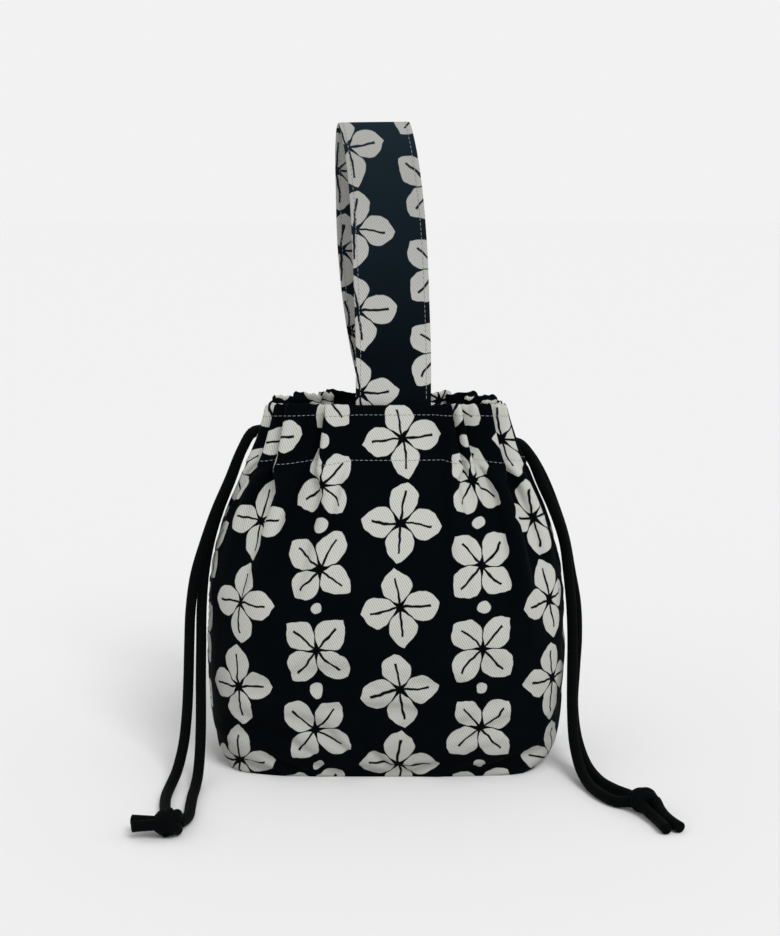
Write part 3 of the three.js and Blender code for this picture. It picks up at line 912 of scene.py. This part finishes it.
def build_casing_run(name, node, level, side, front_route, rear_route, braid):
    """The stretch of a drawcord that the casing holds, from slit to slit."""
    share = np.linspace(0.043, 0.957, 45)
    across = side * np.where(share < 0.5, 1 - 4 * share, 4 * share - 3)
    base, outward = smooth_row(level, across)
    ring = base - outward * HELD_CORD_INSET
    ring[share >= 0.5, 1] *= -1
    points = np.column_stack([ring, level - side_dip(across, level)])
    ends = []
    for route in (front_route, rear_route):
        first, second = (np.array(p) / MM for p in route[:2])
        back = (first - second) / np.linalg.norm(first - second)
        ends.append([first + back * 0.3, first + back * 3.8])
    points = np.concatenate([ends[0], points, ends[1][::-1]])
    piece = tube(name, smooth_line(points, RUN_POINTS)[0], CORD_DIAMETER / 2)
    dress(piece, braid, node)


# Stitches

def model_stitch():
    """One stitch, modelled once: a bead drawn out along Z, a little wider than it is thick."""
    deselect_all()
    bpy.ops.mesh.primitive_uv_sphere_add(segments=6, ring_count=4, radius=0.5, calc_uvs=False)
    stitch = bpy.context.active_object
    bpy.ops.object.shade_smooth()
    bpy.ops.object.mode_set(mode="EDIT")
    bpy.ops.mesh.select_all(action="SELECT")
    bpy.ops.transform.resize(value=(THREAD * STITCH_WIDENING, THREAD, STITCH_LENGTH))
    bpy.ops.object.mode_set(mode="OBJECT")
    return stitch


def stitch_row(name, stitch, places, normals, thread):
    """Copies of the stitch along a line of fine points, each half sunk in the cloth."""
    length = path_length(places)

    def at(values, where):
        return np.array([np.interp(where, length, values[:, k]) for k in range(3)])

    copies = []
    for start in np.linspace(0, length[-1] - STITCH_LENGTH, int(length[-1] // STITCH_PITCH)):
        run = at(places, start + STITCH_LENGTH) - at(places, start)
        if np.linalg.norm(run) < SHORTEST_STITCH:
            continue
        run /= np.linalg.norm(run)
        middle = start + STITCH_LENGTH / 2
        normal = at(normals, middle)
        normal = normal - run * normal.dot(run)
        normal /= np.linalg.norm(normal)
        turn = np.column_stack([np.cross(normal, run), normal, run])
        place = Matrix(turn.tolist()).to_4x4()
        place.translation = at(places, middle) + normal * STITCH_PROUD
        mesh = stitch.data.copy()
        mesh.transform(Matrix.Scale(MM, 4) @ place)
        copy = bpy.data.objects.new(name, mesh)
        bpy.context.collection.objects.link(copy)
        copies.append(copy)
    row = join(copies, name)
    dress(row, thread)
    return row


def row_below(v, level):
    """The last row of a grid before a flat place."""
    return int(np.searchsorted(v, level)) - 1


def cloth_line(grid, v, level):
    """Middle points and normals of the cloth along a line at a flat place between two rows."""
    low = row_below(v, level)
    share = (level - v[low]) / (v[low + 1] - v[low])
    line = grid[low] * (1 - share) + grid[low + 1] * share
    return line, unit_cross(np.gradient(line, axis=0), grid[low + 1] - grid[low])


# Shader node helpers

def new_group(name, inputs, outputs):
    group = bpy.data.node_groups.new(name, "ShaderNodeTree")
    for label, kind in inputs:
        group.interface.new_socket(label, in_out="INPUT", socket_type=kind)
    for label, kind in outputs:
        group.interface.new_socket(label, in_out="OUTPUT", socket_type=kind)
    return group, group.nodes.new("NodeGroupInput"), group.nodes.new("NodeGroupOutput")


def wire(tree, source, target):
    tree.links.new(source, target)


def set_or_wire(tree, socket, value):
    """Set a socket to a plain value, or wire another node's output to it."""
    if isinstance(value, bpy.types.NodeSocket):
        wire(tree, value, socket)
    else:
        socket.default_value = value


def maths(tree, operation, *values, clamp=False):
    node = tree.nodes.new("ShaderNodeMath")
    node.operation = operation
    node.use_clamp = clamp
    for socket, value in zip(node.inputs, values):
        set_or_wire(tree, socket, value)
    return node.outputs[0]


def vector_maths(tree, operation, *values):
    node = tree.nodes.new("ShaderNodeVectorMath")
    node.operation = operation
    for socket, value in zip(node.inputs, values):
        set_or_wire(tree, socket, value)
    return node.outputs["Value" if operation == "LENGTH" else "Vector"]


def noise(tree, vector, scale, detail=2.0):
    node = tree.nodes.new("ShaderNodeTexNoise")
    node.inputs["Scale"].default_value = scale
    node.inputs["Detail"].default_value = detail
    wire(tree, vector, node.inputs["Vector"])
    return node


def split(tree, vector):
    """The X, Y and Z outputs of a vector."""
    node = tree.nodes.new("ShaderNodeSeparateXYZ")
    wire(tree, vector, node.inputs[0])
    return node.outputs


def mix_colour(tree, share, first, second):
    node = tree.nodes.new("ShaderNodeMix")
    node.data_type = "RGBA"
    wire(tree, share, node.inputs["Factor"])
    for socket, value in ((node.inputs[6], first), (node.inputs[7], second)):
        set_or_wire(tree, socket, (*value, 1) if isinstance(value, tuple) else value)
    return node.outputs[2]


def bump(tree, height, strength, distance, shader):
    node = tree.nodes.new("ShaderNodeBump")
    node.inputs["Strength"].default_value = strength
    node.inputs["Distance"].default_value = distance
    wire(tree, height, node.inputs["Height"])
    wire(tree, node.outputs[0], shader.inputs["Normal"])


def placed_group(tree, group, **values):
    node = tree.nodes.new("ShaderNodeGroup")
    node.node_tree = group
    for label, value in values.items():
        set_or_wire(tree, node.inputs[label], value)
    return node.outputs


def new_material(name):
    """A new material with its node tree and shader."""
    material = bpy.data.materials.new(name)
    material.use_nodes = True
    return material, material.node_tree, material.node_tree.nodes["Principled BSDF"]


def cloth_uv(tree):
    node = tree.nodes.new("ShaderNodeUVMap")
    node.uv_map = "cloth"
    return node.outputs[0]


def object_place(tree):
    return tree.nodes.new("ShaderNodeTexCoord").outputs["Object"]


def height_share(tree, from_height, to_height):
    """0 at one height of the object and 1 at another, between them in step with the height."""
    above = maths(tree, "SUBTRACT", split(tree, object_place(tree))[2], from_height)
    return maths(tree, "DIVIDE", above, to_height - from_height, clamp=True)


# Print and weave

def motif_frame(tree, point, shift):
    """Place of a point inside its own motif's cell, and a random number for that cell."""
    period = (2 * LEAF_PITCH, LEAF_PITCH, 1.0)
    moved = vector_maths(tree, "SUBTRACT", point, shift)
    scaled = vector_maths(tree, "DIVIDE", moved, period)
    raised = vector_maths(tree, "ADD", scaled, (0.5, 0.5, 0.5))
    cell = vector_maths(tree, "FLOOR", raised)
    centre = vector_maths(tree, "MULTIPLY", cell, period)
    local = vector_maths(tree, "SUBTRACT", moved, centre)
    flat = vector_maths(tree, "MULTIPLY", local, (1.0, 1.0, 0.0))
    tagged = vector_maths(tree, "ADD", cell, (shift[0] * 0.37 + 3.1, shift[1] * 0.21 + 5.7, 0.5))
    chance = tree.nodes.new("ShaderNodeTexWhiteNoise")
    chance.noise_dimensions = "3D"
    wire(tree, tagged, chance.inputs["Vector"])
    return flat, chance.outputs["Value"]


def leaf_cluster(tree, point, shift, quarter_turn):
    """Four plump veined leaves round a bare middle, a little turned by chance."""
    flat, chance = motif_frame(tree, point, shift)
    wobble = maths(tree, "MULTIPLY_ADD", chance, 0.30, quarter_turn - 0.15)
    turn = tree.nodes.new("ShaderNodeVectorRotate")
    turn.rotation_type = "Z_AXIS"
    wire(tree, flat, turn.inputs["Vector"])
    wire(tree, wobble, turn.inputs["Angle"])
    folded = split(tree, vector_maths(tree, "ABSOLUTE", turn.outputs[0]))
    along = maths(tree, "MAXIMUM", folded[0], folded[1])
    aside = maths(tree, "MINIMUM", folded[0], folded[1])
    t = maths(tree, "DIVIDE", maths(tree, "SUBTRACT", along, LEAF_MIDDLE), LEAF_HALF_LENGTH)
    taper = maths(tree, "POWER", maths(tree, "ABSOLUTE", t), LEAF_FULLNESS)
    belly = maths(tree, "SUBTRACT", 1.0, taper)
    inside = maths(tree, "SUBTRACT", maths(tree, "MULTIPLY", belly, LEAF_HALF_WIDTH), aside)
    beside = maths(tree, "SUBTRACT", aside, VEIN_HALF_WIDTH)
    beyond = maths(tree, "MULTIPLY", maths(tree, "SUBTRACT", t, VEIN_END), LEAF_HALF_LENGTH)
    inside = maths(tree, "MINIMUM", inside, maths(tree, "MAXIMUM", beside, beyond))
    return maths(tree, "MULTIPLY", inside, PRINT_SHARPNESS, clamp=True)


def berry(tree, point, shift):
    """A dot, its size a little changed by chance."""
    flat, chance = motif_frame(tree, point, shift)
    size = maths(tree, "MULTIPLY_ADD", chance, 1.4, BERRY_RADIUS - 0.7)
    inside = maths(tree, "SUBTRACT", size, vector_maths(tree, "LENGTH", flat))
    return maths(tree, "MULTIPLY", inside, PRINT_SHARPNESS, clamp=True)


def leaf_print_group():
    """The print: leaf clusters in a half drop, upright and diagonal in turn, with dots between.
    A slow and a quick warp keep its outlines from being drawn twice alike."""
    group, inputs, outputs = new_group(
        "leaf_print", [("Cloth", "NodeSocketVector")], [("Print", "NodeSocketFloat")]
    )
    point = vector_maths(group, "MULTIPLY", inputs.outputs[0], (UV_SCALE, UV_SCALE, 0.0))
    warp = point
    for scale, reach, seed in ((0.055, 5.0, 0.0), (0.21, 1.5, 40.0)):
        moved = vector_maths(group, "ADD", point, (seed, seed, seed))
        colour = noise(group, moved, scale, 0.0).outputs["Color"]
        centred = vector_maths(group, "SUBTRACT", colour, (0.5, 0.5, 0.5))
        warp = vector_maths(group, "ADD", warp, vector_maths(group, "MULTIPLY", centred, (reach, reach, 0.0)))
    beside = PRINT_SHIFT + LEAF_PITCH
    upright = leaf_cluster(group, warp, (PRINT_SHIFT, PRINT_RISE, 0.0), 0.0)
    diagonal = leaf_cluster(group, warp, (beside, PRINT_RISE + LEAF_PITCH / 2, 0.0), math.pi / 4)
    dots = berry(group, warp, (beside, PRINT_RISE, 0.0))
    both = maths(group, "MAXIMUM", upright, diagonal)
    wire(group, maths(group, "MAXIMUM", both, dots), outputs.inputs[0])
    return group


def twill_group():
    """Diagonal twill: its ribs' height, and a tone that is painted shade between the ribs with a slight
    uneven change.
    """
    group, inputs, outputs = new_group(
        "twill",
        [("Cloth", "NodeSocketVector"), ("Pitch", "NodeSocketFloat")],
        [("Height", "NodeSocketFloat"), ("Tone", "NodeSocketFloat")],
    )
    point = vector_maths(group, "MULTIPLY", inputs.outputs[0], (UV_SCALE, UV_SCALE, 0.0))
    uneven = noise(group, point, 0.9, 3.0).outputs["Fac"]
    across, along, _ = split(group, point)
    slant = maths(group, "ADD", maths(group, "MULTIPLY", across, 0.86), maths(group, "MULTIPLY", along, 0.5))
    rippled = maths(group, "MULTIPLY_ADD", uneven, 0.35, slant)
    phase = maths(group, "DIVIDE", maths(group, "MULTIPLY", rippled, 2 * math.pi), inputs.outputs[1])
    rib = maths(group, "MULTIPLY_ADD", maths(group, "SINE", phase), 0.5, 0.5)
    yarn = maths(group, "SINE", maths(group, "MULTIPLY", along, 2 * math.pi / YARN_PITCH))
    wire(group, maths(group, "MULTIPLY_ADD", yarn, 0.12, rib), outputs.inputs[0])
    # painted shade: darker between the ribs, with a slight random change
    tone = maths(group, "MULTIPLY_ADD", rib, 0.8, maths(group, "MULTIPLY", uneven, 0.3))
    wire(group, tone, outputs.inputs[1])
    return group


# Materials

def printed_twill(name, print_group, weave_group, finish):
    """Twill printed pale on a dark ground, a little worn, with painted shade on the pale by height, and
    painted light on the ground by height where the finish asks for it.
    """
    material, tree, shader = new_material(name)
    cloth = cloth_uv(tree)
    print_mask = placed_group(tree, print_group, Cloth=cloth)["Print"]
    weave = placed_group(tree, weave_group, Cloth=cloth, Pitch=TWILL_PITCH)
    cloud = noise(tree, cloth, 2.6, 4.0).outputs["Fac"]
    dark = mix_colour(tree, cloud, finish["ground"], finish["worn"])
    if "faded" in finish:
        # painted light: the ground turns lighter between two heights
        colour, from_height, to_height = finish["faded"]
        dark = mix_colour(tree, height_share(tree, from_height, to_height), dark, colour)
    light = mix_colour(tree, weave["Tone"], finish["shade"], finish["pale"])
    # painted shade: the pale keeps only a share of its brightness at one height
    shade_keeps, shaded_height, unshaded_height = finish["painted_shade"]
    shaded_pale = vector_maths(tree, "MULTIPLY", light, (shade_keeps, shade_keeps, shade_keeps))
    light = mix_colour(tree, height_share(tree, shaded_height, unshaded_height), shaded_pale, light)
    wire(tree, mix_colour(tree, print_mask, dark, light), shader.inputs["Base Color"])
    rough = maths(tree, "MULTIPLY_ADD", weave["Tone"], 0.12, 0.78)
    wire(tree, rough, shader.inputs["Roughness"])
    shader.inputs["Specular IOR Level"].default_value = 0.02
    shader.inputs["Sheen Weight"].default_value = 0.005
    shader.inputs["Sheen Roughness"].default_value = 0.5
    bump(tree, weave["Height"], 0.5, 0.00018, shader)
    return material


def cord_material():
    """Braided cotton cord: small crossing yarns along a round cord."""
    material, tree, shader = new_material("braided_cord")
    cloth = cloth_uv(tree)
    across, along, _ = split(tree, cloth)
    round_cord = maths(tree, "MULTIPLY", across, UV_SCALE * 2 * math.pi * 8 / (math.pi * CORD_DIAMETER))
    down_cord = maths(tree, "MULTIPLY", along, UV_SCALE * 2 * math.pi / 2.3)
    one = maths(tree, "SINE", maths(tree, "ADD", round_cord, down_cord))
    other = maths(tree, "SINE", maths(tree, "SUBTRACT", round_cord, down_cord))
    fuzz = noise(tree, cloth, 60.0, 3.0).outputs["Fac"]
    height = maths(tree, "MULTIPLY_ADD", fuzz, 0.5, maths(tree, "MAXIMUM", one, other))
    # painted shade: the braid is darker in its grooves, with a random fuzz tone
    tone = maths(tree, "MULTIPLY_ADD", height, 0.3, 0.4, clamp=True)
    colour = mix_colour(tree, tone, (0.0003, 0.0007, 0.0008), (0.0014, 0.0022, 0.0024))
    wire(tree, colour, shader.inputs["Base Color"])
    shader.inputs["Roughness"].default_value = 0.8
    shader.inputs["Specular IOR Level"].default_value = 0.03
    shader.inputs["Sheen Weight"].default_value = 0.006
    bump(tree, height, 0.6, 0.00035, shader)
    return material


def thread_material():
    """Pale sewing thread, its tone changed by the twist."""
    material, tree, shader = new_material("pale_thread")
    twist = noise(tree, object_place(tree), 900.0).outputs["Fac"]
    wire(tree, mix_colour(tree, twist, (0.13, 0.14, 0.15), (0.32, 0.33, 0.34)), shader.inputs["Base Color"])
    shader.inputs["Roughness"].default_value = 0.6
    return material


# Studio

def make_camera():
    data = bpy.data.cameras.new("camera")
    camera = bpy.data.objects.new("camera", data)
    bpy.context.collection.objects.link(camera)
    data.sensor_width = SENSOR
    data.lens = FOCAL_LENGTH_PIXELS / PICTURE_HEIGHT * SENSOR
    camera.location = CAMERA_PLACE
    camera.rotation_euler = (math.radians(90 + CAMERA_TILT), 0, 0)
    bpy.context.scene.camera = camera


def make_stage():
    """A pale floor that runs out of sight, under an even backdrop of the same tone."""
    deselect_all()
    bpy.ops.mesh.primitive_plane_add(size=80.0, location=(0, 0, 0))
    floor = bpy.context.active_object
    floor.name = "floor"
    material, _, shader = new_material("floor_paper")
    shader.inputs["Base Color"].default_value = (FLOOR_TONE, FLOOR_TONE, FLOOR_TONE, 1)
    shader.inputs["Roughness"].default_value = 0.9
    shader.inputs["Specular IOR Level"].default_value = 0.1
    floor.data.materials.append(material)
    world = bpy.data.worlds.new("studio")
    bpy.context.scene.world = world
    world.use_nodes = True
    tree = world.node_tree
    backdrop = tree.nodes["Background"]
    backdrop.inputs["Color"].default_value = (BACKDROP_TONE, BACKDROP_TONE, BACKDROP_TONE, 1)
    seen = tree.nodes.new("ShaderNodeLightPath").outputs["Is Camera Ray"]
    strength = maths(tree, "MULTIPLY_ADD", seen, 1 - BACKDROP_LIGHT, BACKDROP_LIGHT)
    wire(tree, strength, backdrop.inputs["Strength"])
    bpy.context.scene.view_settings.view_transform = "Standard"


def make_sun(name, direction, strength, spread):
    """A soft, even light from far away."""
    data = bpy.data.lights.new(name, "SUN")
    data.energy = strength
    data.angle = math.radians(spread)
    light = bpy.data.objects.new(name, data)
    bpy.context.collection.objects.link(light)
    light.rotation_euler = Vector(direction).to_track_quat("-Z", "Y").to_euler()


# The pouch, piece by piece

def make_drawcords(braid):
    """Both drawcords: the knots, then the free strands, then the runs that the casing holds."""
    left = ("left", LEFT_KNOT, LEFT_FRONT_ROUTE, LEFT_REAR_ROUTE, CORD_LEVEL + CORD_PITCH / 2, -1)
    right = ("right", RIGHT_KNOT, RIGHT_FRONT_ROUTE, RIGHT_REAR_ROUTE, CORD_LEVEL - CORD_PITCH / 2, 1)
    for side, knot, *_ in (left, right):
        build_knot(f"{side}_cord_knot", f"{side}_knot", knot, braid)
    for side, _, front, rear, *_ in (left, right):
        build_strand(f"{side}_strand_front", f"{side}_cord_front", front, braid)
        build_strand(f"{side}_strand_rear", f"{side}_cord_rear", rear, braid)
    for side, _, front, rear, level, sign in (left, right):
        build_casing_run(f"{side}_cord_held", f"{side}_cord_in_casing", level, sign, front, rear, braid)


def make_panel(name, node, folds, seed, turned, cloth, stitch, thread):
    """One wall panel, for the back turned half round, with the two stitch lines of its casing."""
    piece, grid, v = build_panel(name, folds, seed, turned)
    dress(piece, cloth, node)
    for label, drop in PANEL_STITCH_DROPS:
        line, normals = cloth_line(grid, v, v[WALL_ROWS] - drop * CLOTH_PER_HEIGHT)
        places = line + normals * CLOTH / 2
        stitch_row(f"{name}_{label}_stitches", stitch, places[5:-5], normals[5:-5], thread)


def make_base(cloth):
    base = build_base()
    dress(base, cloth, "base_panel")


def make_strap(cloth, stitch, thread):
    """The strap with the stitch lines along both edges, on both faces, above the rim."""
    piece, grid, u, v = build_strap()
    dress(piece, cloth, "strap")
    across = u + STRAP_WIDTH / 2
    for label, inset in (("left", STRAP_STITCH_INSET), ("right", STRAP_WIDTH - STRAP_STITCH_INSET)):
        above_rim = grid[:, row_below(across, inset), 2] > STRAP_STITCHES_FROM
        line, normals = cloth_line(grid[above_rim].transpose(1, 0, 2), across, inset)
        for face, sign in (("outer", -1), ("inner", 1)):
            outward = normals * sign
            places = line + outward * STRAP_THICKNESS / 2
            stitch_row(f"strap_{label}_{face}_stitches", stitch, places, outward, thread)


make_camera()

make_drawcords(cord_material())

print_group = leaf_print_group()
weave_group = twill_group()
body_cloth = printed_twill("printed_twill", print_group, weave_group, BODY_FINISH)
# the strap's cloth, with painted light on its ground and painted shade on its pale by height
strap_cloth = printed_twill("printed_twill_strap_lit_and_shaded", print_group, weave_group, STRAP_FINISH)
thread = thread_material()
stitch = model_stitch()
make_panel("front_cloth", "front_panel", FRONT_FOLDS, FRONT_SEED, False, body_cloth, stitch, thread)
make_panel("back_cloth", "back_panel", BACK_FOLDS, BACK_SEED, True, body_cloth, stitch, thread)
make_base(body_cloth)
make_strap(strap_cloth, stitch, thread)
bpy.data.objects.remove(stitch)

make_stage()
make_sun("key", direction=(-0.3, 0.6, -0.7), strength=1.8, spread=26)
make_sun("fill", direction=(0.8, 0.5, -0.4), strength=0.1, spread=60)
